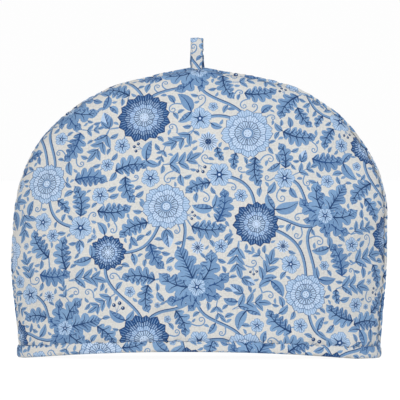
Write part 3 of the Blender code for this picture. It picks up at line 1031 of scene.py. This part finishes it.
def make_panel(node, panel, materials):
    """A padded panel: its printed face and its plain lining, joined all round."""
    outline = panel.rim(EDGE_SPACINGS["panel"])
    shapes = print_on(outline, node)
    flat, corners, tops = cut_cloth(outline, shapes)
    rim = ordered_rim(corners)
    lining_flat, lining_corners, _ = cut_cloth(flat[rim], [])
    lining_rim = ordered_rim(lining_corners)
    face_keys, lining_keys = (
        [tuple(key) for key in np.round(places / SEWN_GAP).astype(int).tolist()]
        for places in (flat[rim], lining_flat[lining_rim])
    )
    facing = dict(zip(lining_keys, lining_rim + len(flat)))
    pairs = np.array([(vert, facing[key]) for vert, key in zip(rim, face_keys) if key in facing])
    after = np.roll(pairs, -1, axis=0)
    joins = np.vstack([np.column_stack([after[:, 0], pairs[:, 0], pairs[:, 1]]),
                       np.column_stack([after[:, 0], pairs[:, 1], after[:, 1]])])
    finish = np.zeros(len(corners) + len(lining_corners) + len(joins), int)
    finish[len(corners) :] = 1
    corners = np.vstack([corners, lining_corners[:, ::-1] + len(flat), joins])
    tops = np.concatenate([tops, np.full(len(corners) - len(tops), -1)])
    points = np.vstack([panel.face(flat), panel.lining(lining_flat)])
    sign = -panel.side
    normals = np.vstack([normals_of(panel.face, flat, sign), normals_of(panel.lining, lining_flat, -sign)])
    low = outline.min(axis=0)
    size = max(outline.max(axis=0) - low)
    *lining_place, lining_scale = LINING_MAP
    lining_bake = lining_place + 0.98 * lining_scale * (lining_flat - low) / size
    bake = np.vstack([on_map(flat - low, size), lining_bake])
    both = np.vstack([flat, lining_flat])
    cut = (corners, tops, shapes)
    piece = build_piece(node + "_cloth", points, cut, both, bake, normals, materials, finish)
    declare(piece, node)

def make_strip(node, lift, size, materials, map_size=None, sign=1.0):
    """A strip of printed cloth, lifted from a flat rectangle of a length and a width."""
    length, width = size
    outline = [(0.0, 0.0), (length, 0.0), (length, width), (0.0, width), (0.0, 0.0)]
    outline = evenly(np.array(outline), EDGE_SPACINGS[node])[:-1]
    shapes = print_on(outline, node)
    flat, corners, tops = cut_cloth(outline, shapes)
    bake = on_map(flat, map_size or size)
    normals = normals_of(lift, flat, sign)
    cut = (corners, tops, shapes)
    piece = build_piece(node + "_cloth", lift(flat), cut, flat, bake, normals, materials)
    declare(piece, node)
    return piece

class Mouth:
    """The open mouth's plan, and the binding's cloth round it."""

    def __init__(self):
        across = np.sin(np.linspace(-0.5 * math.pi, 0.5 * math.pi, 721))
        across = np.sign(across) * (1.0 - (1.0 - np.abs(across)) ** 1.3)
        self.across = np.concatenate([across, across[-2::-1]])
        side = np.repeat((-1.0, 1.0), (len(across), len(across) - 1))
        self.travelled = travelled(np.column_stack(self.place(self.across, 0.0, side)))
        self.length = self.travelled[-1]

    def place(self, across, inset, side):
        """The plan at a share of the way across, an inset from its outside, on the front or the back."""
        left, right = BINDING_OVERHANGS
        foot = np.where(across > 0.0, FOOT_RIGHT + right, FOOT_LEFT + left)
        x = across * (foot - SIDE_TAPER * inset)
        return x, side * (HEM_DEPTH - inset) * fullness(across)

    def at(self, distance, inset):
        """Where the plan is at a distance round it, and an inset."""
        distance = np.mod(distance, self.length)
        across = np.interp(distance, self.travelled, self.across)
        side = np.where(distance < self.length / 2.0, -1.0, 1.0)
        return self.place(across, inset, side)

BINDING_SECTION = (  # inset from the outer face, share of the way up the binding, and height to add
    (0.0014, 1.0, -0.0012),
    (0.0011, 1.0, -0.0003),
    (0.0006, 1.0, -0.0001),
    (0.0001, 1.0, -0.0012),
    (-0.0003, 0.72, 0.0),
    (-0.0004, 0.45, 0.0),
    (-0.0002, 0.0, 0.0018),
    (0.0003, 0.0, 0.0005),
    (0.0012, 0.0, 0.0),
    (0.0041, 0.0, 0.0),
    (0.0052, 0.0, 0.0006),
    (0.0057, 0.0, 0.0020),
    (0.0059, 0.5, 0.0),
    (0.0057, 1.0, -0.0014),
    (0.0051, 1.0, -0.0002),
    (0.0046, 1.0, -0.0010),
)
BINDING_STITCH_INSET = 0.0024  # from the strip's long edges

def make_binding(materials, thread):
    """The hem's binding: one strip of cloth folded over the panels' edges, all round the mouth."""
    mouth = Mouth()
    line = spline(np.array(BINDING_SECTION) * (1.0, ARCH_SCALE, 1.0))
    along = travelled(np.column_stack([line[:, 0], line[:, 1] + line[:, 2]]))
    section = line / (1.0, ARCH_SCALE, 1.0)
    width = along[-1]

    def lift(flat):
        inset, share, more = values_at(np.clip(width - flat[:, 1], 0.0, width), along, section)
        ripple = 0.00016 * wander(flat[:, 0], 0.0031, 1.7, 0.021)
        ripple += 0.00030 * wander(flat[:, 0], 0.0127, 2.1, 0.047)
        x, y = mouth.at(flat[:, 0], inset - ripple * np.sin(math.pi * np.clip(share, 0.0, 1.0)) ** 2)
        z = hem_rise(x) + share * (binding_top(x) - hem_rise(x)) + more
        return np.column_stack([x, y, np.maximum(z, 0.0)])

    piece = make_strip("hem_binding", lift, (mouth.length, width), materials)
    heights = (width - BINDING_STITCH_INSET, BINDING_STITCH_INSET)
    lines = [((0.0, height), (mouth.length, height)) for height in heights]
    make_stitches("hem_stitches", lift, lines, 1.0, thread)

PIPING_FOOT_INSET = 0.0006  # how far the piping leans in where it runs into the binding

def make_piping(materials):
    """The piping: cloth wrapped round a cord in the seam, from the binding over the top and back."""
    foot_height = binding_top(FOOT_RIGHT) - PIPING_TUCK
    line = SEAM[SEAM[:, 1] > foot_height + 2.0 * PIPING_TUCK]
    right = line[0, 0] - PIPING_FOOT_INSET
    left = line[-1, 0] + PIPING_FOOT_INSET
    line = evenly(np.vstack([(right, foot_height), line, (left, foot_height)]), 0.001)
    girth = math.tau * PIPING_RADIUS
    places = travelled(line)
    length = places[-1]
    sideways = left_normals(line)

    def lift(flat):
        s = np.clip(flat[:, 0], 0.0, length)
        spin = -0.5 * math.pi + math.tau * flat[:, 1] / girth
        x, z = values_at(s, places, line)
        nx, nz = values_at(s, places, sideways)
        ripple = 0.00005 * np.sin(s / 0.0011 + 2.0 * spin)
        ripple = ripple + 0.00009 * np.sin(s / 0.0043 + spin + 2.0 * np.sin(s / 0.017))
        radius = PIPING_RADIUS + ripple
        out = radius * np.cos(spin + 0.5 * math.pi + math.pi)
        y = radius * np.sin(spin + 0.5 * math.pi + math.pi)
        return np.column_stack([x + nx * -out, y, z + nz * -out])

    piece = make_strip("piping", lift, (length, girth), materials)

def loop_path():
    """The middle of the loop's strip, from the front leg over the fold to the back leg, as (y, height)."""
    sewn = PIPING_RADIUS + LOOP_THICKNESS / 2.0
    wide = (LOOP_GAP + LOOP_THICKNESS) / 2.0
    top = LOOP_HEIGHT - LOOP_THICKNESS / 2.0
    front = [
        (-sewn, -1.3 * PIPING_RADIUS),
        (-0.97 * sewn, -0.7 * PIPING_RADIUS),
        (-0.8 * sewn, 0.07 * top),
        (-0.8 * wide, 0.40 * top),
        (-wide, 0.70 * top),
        (-0.72 * wide, 0.93 * top),
    ]
    back = [(-y, z) for y, z in reversed(front)]
    return evenly(spline(front + [(0.0, top)] + back), 0.0004)

def loop_width(share):
    """The strip's width: its front leg is pinched in the seam, and its back leg fans out there."""
    pinch = (LOOP_WAIST - LOOP_WIDTH) * eased(1.0 - share / LOOP_WAIST_REACH)
    return LOOP_WIDTH + pinch + (LOOP_FOOT - LOOP_WIDTH) * eased((share - 0.6) / 0.4)

LOOP_STITCH_INSET = 0.0009  # from the strip's folded edges
LOOP_STITCH_START = 0.004

def make_loop(materials, thread):
    """The hanging loop: a folded strip with soft edges, whose seam is inside."""
    path = loop_path()
    places = travelled(path)
    length = places[-1]
    outward = left_normals(path)
    root_height = np.interp(LOOP_PLACE, *SEAM[::-1].T) + PIPING_RADIUS + CLEARANCE
    half = LOOP_THICKNESS / 2.0
    girth = 2.0 * (LOOP_WIDTH + LOOP_THICKNESS)
    corner = LOOP_WIDTH / 2.0 - half
    turns = np.linspace(0.0, math.pi, 9)
    section = [(0.0, -half)]
    for side in (-1.0, 1.0):
        bows = [(corner + half * math.sin(turn), half * math.cos(turn)) for turn in turns]
        section += [(side * across, side * out) for across, out in bows]
    section = np.array(section + [(0.0, -half)])
    around = travelled(section)
    around *= girth / around[-1]

    def lift(flat):
        s = np.clip(flat[:, 0], 0.0, length)
        across, out = values_at(flat[:, 1], around, section)
        y, z = values_at(s, places, path)
        ny, nz = values_at(s, places, outward)
        groove = 0.00022 * np.exp(-(((np.abs(across) - corner + 0.0010) / 0.0005) ** 2))
        puff = 0.00010 * np.cos(across / 0.0011) + 0.00008 * np.sin(s / 0.0021)
        out = out + np.sign(out) * (puff - groove)
        x = LOOP_PLACE + across * loop_width(s / length) / LOOP_WIDTH
        return np.column_stack([x, y + out * ny, root_height + z + out * nz])

    piece = make_strip("hanging_loop", lift, (length, girth), materials, (length, length), -1.0)
    edges = (girth / 2.0 - corner + LOOP_STITCH_INSET, girth / 2.0 + corner - LOOP_STITCH_INSET)
    lines = [((LOOP_STITCH_START, edge), (length - LOOP_STITCH_START, edge)) for edge in edges]
    make_stitches("loop_stitches", lift, lines, -1.0, thread)

# Stitches

STITCH = 0.0023
STITCH_STEP = 0.0030
THREAD_RADIUS = 0.00020
STITCH_RINGS = 6
THREAD_SIDES = 6

def stitch_line(lift, start, end, sign):
    """Stitches along a line of a cloth's flat shape: their ends and the cloth's normals, in space."""
    start = np.array(start)
    end = np.array(end)
    length = np.linalg.norm(end - start)
    count = int(length / STITCH_STEP)
    middles = start + (end - start) * ((np.arange(count) + 0.5) / count)[:, None]
    half = (end - start) / length * STITCH / 2.0
    return lift(middles - half), lift(middles + half), normals_of(lift, middles, sign)

def thread_corners():
    """One stitch's triangles: a tube of rings, closed at both ends."""
    corners = []
    for first in range(0, (STITCH_RINGS - 1) * THREAD_SIDES, THREAD_SIDES):
        for side in range(THREAD_SIDES):
            here = first + side
            beside = first + (side + 1) % THREAD_SIDES
            after = here + THREAD_SIDES
            corners += [(here, after, beside), (beside, after, beside + THREAD_SIDES)]
    last = (STITCH_RINGS - 1) * THREAD_SIDES
    for side in range(1, THREAD_SIDES - 1):
        corners += [(0, side, side + 1), (last, last + side + 1, last + side)]
    return np.array(corners)

def make_stitches(name, lift, lines, sign, material):
    """Short threads along lines, that lie on the cloth and go into it at both ends."""
    rows = [stitch_line(lift, start, end, sign) for start, end in lines]
    starts, ends, out = (np.vstack(parts) for parts in zip(*rows))
    count = len(starts)
    along = ends - starts
    aside = np.cross(out, along)
    aside /= np.linalg.norm(aside, axis=1)[:, None]
    share = np.linspace(0.0, 1.0, STITCH_RINGS)
    arch = np.sin(math.pi * share)
    spin = -0.5 * math.pi + math.tau * (np.arange(THREAD_SIDES) + 0.5) / THREAD_SIDES
    centres = starts[:, None] + share[:, None] * along[:, None]
    centres += (THREAD_RADIUS * (1.3 * arch - 0.8))[:, None] * out[:, None]
    radius = THREAD_RADIUS * (0.45 + 0.55 * np.sqrt(arch))
    round_it = np.cos(spin)[:, None] * aside[:, None] + np.sin(spin)[:, None] * out[:, None]
    spread_out = radius[:, None, None] * round_it[:, None]
    points = (centres[:, :, None] + spread_out).reshape(-1, 3)
    normals = np.broadcast_to(round_it[:, None], spread_out.shape).reshape(-1, 3)
    each = STITCH_RINGS * THREAD_SIDES
    corners = (thread_corners()[None] + each * np.arange(count)[:, None, None]).reshape(-1, 3)
    flat = np.meshgrid(share * STITCH, np.arange(THREAD_SIDES) / THREAD_SIDES, indexing="ij")
    flat = np.stack(flat, axis=-1).reshape(-1, 2)
    across = math.ceil(math.sqrt(count))
    cell = np.stack([np.arange(count) % across, np.arange(count) // across], axis=-1)
    bake = (cell[:, None] + 0.1 + 0.8 * flat[None] / (STITCH, 1.0)) / across
    bake = bake.reshape(-1, 2)
    cut = (corners, np.full(len(corners), -1), [])
    piece = build_piece(name, points, cut, np.tile(flat, (count, 1)), bake, normals, [material])
    declare(piece)

# Materials

THREAD_PITCH = 0.00042  # from one thread of the weave to the next
TWIST_PITCH = 0.0006  # from one turn of the sewing thread to the next
# the thread's blue as painted shade in the twist's grooves and as painted highlight on its crests
THREAD_PAINTED_SHADE_AND_LIGHT = ((0.11, 0.19, 0.33, 1.0), (0.18, 0.29, 0.46, 1.0))
LINING_COLOURS = ((0.62, 0.59, 0.52, 1.0), (0.72, 0.70, 0.64, 1.0))
STROKE_STRENGTH = 0.92  # how much of its own ink a stroke shows

class Finish:
    """A material in the making: its node tree and its shader."""

    def __init__(self, name, **shared):
        self.material = bpy.data.materials.new(name)
        self.material.use_nodes = True
        self.tree = self.material.node_tree
        self.shader = self.tree.nodes["Principled BSDF"]
        self.fill(self.shader, shared)

    def fill(self, made, inputs):
        """Sets a node's inputs to values, or joins them to other nodes' outputs."""
        for key, value in inputs.items():
            if isinstance(value, bpy.types.NodeSocket):
                self.tree.links.new(value, made.inputs[key])
            else:
                made.inputs[key].default_value = value

    def node(self, kind, inputs=None, **settings):
        """A node with its settings and inputs."""
        made = self.tree.nodes.new("ShaderNode" + kind)
        for key, value in settings.items():
            setattr(made, key, value)
        self.fill(made, inputs or {})
        return made

    def math(self, operation, *values):
        return self.node("Math", dict(enumerate(values)), operation=operation).outputs[0]

    def total(self, first, *rest):
        for value in rest:
            first = self.math("ADD", first, value)
        return first

    def scaled(self, vector, scale):
        return self.node("VectorMath", {0: vector, "Scale": scale}, operation="SCALE").outputs[0]

    def stretched(self, vector, scale):
        return self.node("Mapping", {"Vector": vector, "Scale": scale}).outputs[0]

    def noise(self, vector, size, detail=3.0):
        """Noise whose features are about a size in metres across."""
        inputs = {"Vector": vector, "Scale": 1.0 / size, "Detail": detail, "Roughness": 0.55}
        return self.node("TexNoise", inputs).outputs["Fac"]

    def spread(self, value, low, high):
        """Noise around a half, spread from low to high."""
        inputs = {"Value": value, "From Min": 0.3, "From Max": 0.7, "To Min": low, "To Max": high}
        return self.node("MapRange", inputs).outputs[0]

    def uv(self, name):
        return self.node("UVMap", uv_map=name).outputs[0]

    def ramp(self, share, colours):
        """A colour between two, at a share of the way."""
        made = self.node("ValToRGB", {"Fac": share})
        for element, colour in zip(made.color_ramp.elements, colours):
            element.color = colour
        return made.outputs[0]

    def cotton(self, colour, mottle):
        """Weave, slubs, sheen and small unevenness for a cotton cloth of a colour; the weave also paints
        shade into its low places and highlight onto its high ones.
        """
        cloth = self.uv("cloth")
        place = self.node("TexCoord").outputs["Object"]
        turns = self.node("SeparateXYZ", {0: self.scaled(cloth, math.pi / THREAD_PITCH)}).outputs
        weave = self.math("MULTIPLY", self.math("SINE", turns[0]), self.math("SINE", turns[1]))
        slubs = self.noise(self.stretched(cloth, (1.0, 14.0, 1.0)), 0.012)
        cross_slubs = self.noise(self.stretched(cloth, (14.0, 1.0, 1.0)), 0.012)
        fade = self.noise(place, 0.045, 4.0)
        grain = self.noise(cloth, 0.0016, 2.0)
        creases = self.noise(place, 0.011, 2.0)
        # the colour's scale: uneven tone from slubs, grain and broad noise, plus painted shade and
        # highlight that follow the weave
        shade = self.total(
            self.spread(slubs, -mottle, mottle),
            self.spread(cross_slubs, -mottle, mottle),
            self.spread(grain, -2.4 * mottle, 2.4 * mottle),
            self.spread(fade, 1.0 - mottle, 1.0 + 0.6 * mottle),
            # painted shade and highlight: the weave's height darkens the colour where threads dip and
            # lightens it where they rise
            self.math("MULTIPLY", weave, 0.05),
        )
        height = self.total(
            self.math("MULTIPLY", weave, 0.00004),
            self.math("MULTIPLY", creases, 0.00035),
            self.math("MULTIPLY", slubs, 0.00008),
        )
        bump = self.node("Bump", {"Height": height, "Strength": 0.6, "Distance": 1.0}).outputs[0]
        tinted = self.scaled(colour, shade)
        rough = self.spread(fade, 0.80, 0.92)
        self.fill(self.shader, {"Base Color": tinted, "Roughness": rough, "Normal": bump})
        self.fill(self.shader, {"Specular IOR Level": 0.35, "Sheen Weight": 0.12, "Sheen Roughness": 0.45})
        return self.material

def printed_cotton():
    """The face's cloth. Strokes are drawn along their phase, the broader the stronger they are."""
    finish = Finish("printed_cotton_cloth")
    ink, stroke_ink = (
        finish.node("Attribute", attribute_name=name).outputs["Color"] for name in ("ink", "stroke_ink")
    )
    phase, strength, _ = finish.node("SeparateXYZ", {0: finish.uv("strokes")}).outputs
    wave = finish.math("SINE", finish.math("MULTIPLY", phase, math.tau))
    level = finish.math("MULTIPLY_ADD", strength, 1.35, -0.95)
    inputs = {"Value": finish.math("ADD", wave, level), "From Min": -0.25, "From Max": 0.25}
    share = finish.math("MULTIPLY", finish.node("MapRange", inputs).outputs[0], STROKE_STRENGTH)
    colour = finish.node("Mix", data_type="RGBA")
    finish.fill(colour, {"Factor": share, 6: ink, 7: stroke_ink})
    return finish.cotton(colour.outputs[2], 0.040)

def plain_cotton():
    """The inner face's pale cloth."""
    finish = Finish("plain_cotton_lining")
    return finish.cotton(finish.ramp(finish.noise(finish.uv("cloth"), 0.03), LINING_COLOURS), 0.04)

def sewing_thread():
    """A twisted cotton thread, with painted shade in its twist's grooves and painted highlight on its
    crests. Its flat places are metres along it, and a share of the way round.
    """
    finish = Finish("sewing_thread", **{"Roughness": 0.7, "Specular IOR Level": 0.35})
    along, around, _ = finish.node("SeparateXYZ", {0: finish.uv("cloth")}).outputs
    along = finish.math("MULTIPLY", along, math.tau / TWIST_PITCH)
    around = finish.math("MULTIPLY", around, math.tau)
    twist = finish.math("SINE", finish.math("ADD", along, around))
    bump = finish.node("Bump", {"Height": finish.math("MULTIPLY", twist, 0.00003), "Distance": 1.0})
    # painted shade and highlight: the colour follows the twist's height, dark in the grooves and light on
    # the crests
    colour = finish.ramp(finish.math("MULTIPLY_ADD", twist, 0.5, 0.5), THREAD_PAINTED_SHADE_AND_LIGHT)
    finish.fill(finish.shader, {"Base Color": colour, "Normal": bump.outputs[0]})
    return finish.material

# The floor, the lights and the camera

VIEW_WIDTH = 0.38096  # what the photograph shows across, at the object
VIEW_CENTRE = Vector((0.00095, 0.0, 0.1500))
CAMERA_DISTANCE = 5.0
CAMERA_AZIMUTH = math.radians(2.0)
CAMERA_ELEVATION = math.radians(0.9)
SENSOR_WIDTH = 36.0  # millimetres
STAGE_RADIUS = 14.0
LIT = Vector((0.0, 0.0, 0.12))  # what the lights are turned to
LIGHTS = (  # name, place, size, power and colour
    ("key", (-0.95, -2.5, 0.45), 0.8, 30.0, (1.0, 0.985, 0.955)),
    ("side", (2.1, -1.6, 1.3), 1.0, 20.0, (0.86, 0.93, 1.0)),
    ("back", (0.4, 2.4, 1.2), 1.2, 44.0, (1.0, 1.0, 1.0)),
)

def stage(surround, name, grey, strength):
    """Names a surround, and gives it a pale finish that shines to the camera alone."""
    finish = Finish(name, **{
        "Base Color": (grey, grey, grey, 1.0),
        "Roughness": 1.0,
        "Specular IOR Level": 0.0,
        "Emission Color": (1.0, 1.0, 1.0, 1.0),
        "Emission Strength": strength,
    })
    surround.name = name
    surround.data.materials.append(finish.material)
    for sight in ("visible_diffuse", "visible_glossy", "visible_transmission", "visible_shadow"):
        setattr(surround, sight, False)

def make_stage():
    """A wide pale floor, and far round it a white dome."""
    bpy.ops.mesh.primitive_circle_add(vertices=64, radius=STAGE_RADIUS, fill_type="NGON")
    stage(bpy.context.object, "floor", 0.12, 0.943)
    bpy.ops.mesh.primitive_uv_sphere_add(segments=48, ring_count=24, radius=STAGE_RADIUS)
    stage(bpy.context.object, "backdrop", 0.0, 0.985)

def make_lights():
    """Warm light from the front's left, cool from the upper right, one behind, and an even surround."""
    world = bpy.data.worlds.new("studio")
    world.use_nodes = True
    world.node_tree.nodes["Background"].inputs["Color"].default_value = (0.96, 0.98, 1.0, 1.0)
    world.node_tree.nodes["Background"].inputs["Strength"].default_value = 0.565
    bpy.context.scene.world = world
    for name, place, size, power, colour in LIGHTS:
        light = bpy.data.lights.new(name, "AREA")
        light.shape = "DISK"
        light.size = size
        light.energy = power
        light.color = colour
        lamp = bpy.data.objects.new(name, light)
        lamp.location = place
        lamp.rotation_euler = (LIT - lamp.location).to_track_quat("-Z", "Y").to_euler()
        bpy.context.scene.collection.objects.link(lamp)

def make_camera():
    """A long lens, face on, as in the photograph."""
    data = bpy.data.cameras.new("camera")
    data.sensor_width = SENSOR_WIDTH
    data.lens = data.sensor_width * CAMERA_DISTANCE / VIEW_WIDTH
    data.clip_end = 60.0
    camera = bpy.data.objects.new("camera", data)
    level = math.cos(CAMERA_ELEVATION)
    across = math.sin(CAMERA_AZIMUTH) * level
    forward = -math.cos(CAMERA_AZIMUTH) * level
    away = Vector((across, forward, math.sin(CAMERA_ELEVATION)))
    camera.location = VIEW_CENTRE + CAMERA_DISTANCE * away
    camera.rotation_euler = (-away).to_track_quat("-Z", "Y").to_euler()
    bpy.context.scene.collection.objects.link(camera)
    bpy.context.scene.camera = camera

def main():
    """Sets up the studio, and sews the pieces."""
    bpy.context.scene.view_settings.view_transform = "Standard"
    make_stage()
    make_lights()
    make_camera()
    printed_finish = printed_cotton()
    lining_finish = plain_cotton()
    thread = sewing_thread()
    front = Panel(-1.0, FRONT_DENTS)
    back = Panel(1.0, BACK_DENTS)
    front.folds = Folds(front, seed=3)
    back.folds = Folds(back, seed=4)
    make_panel("front_panel", front, [printed_finish, lining_finish])
    make_panel("back_panel", back, [printed_finish, lining_finish])
    make_piping([printed_finish])
    make_binding([printed_finish], thread)
    make_loop([printed_finish], thread)

main()
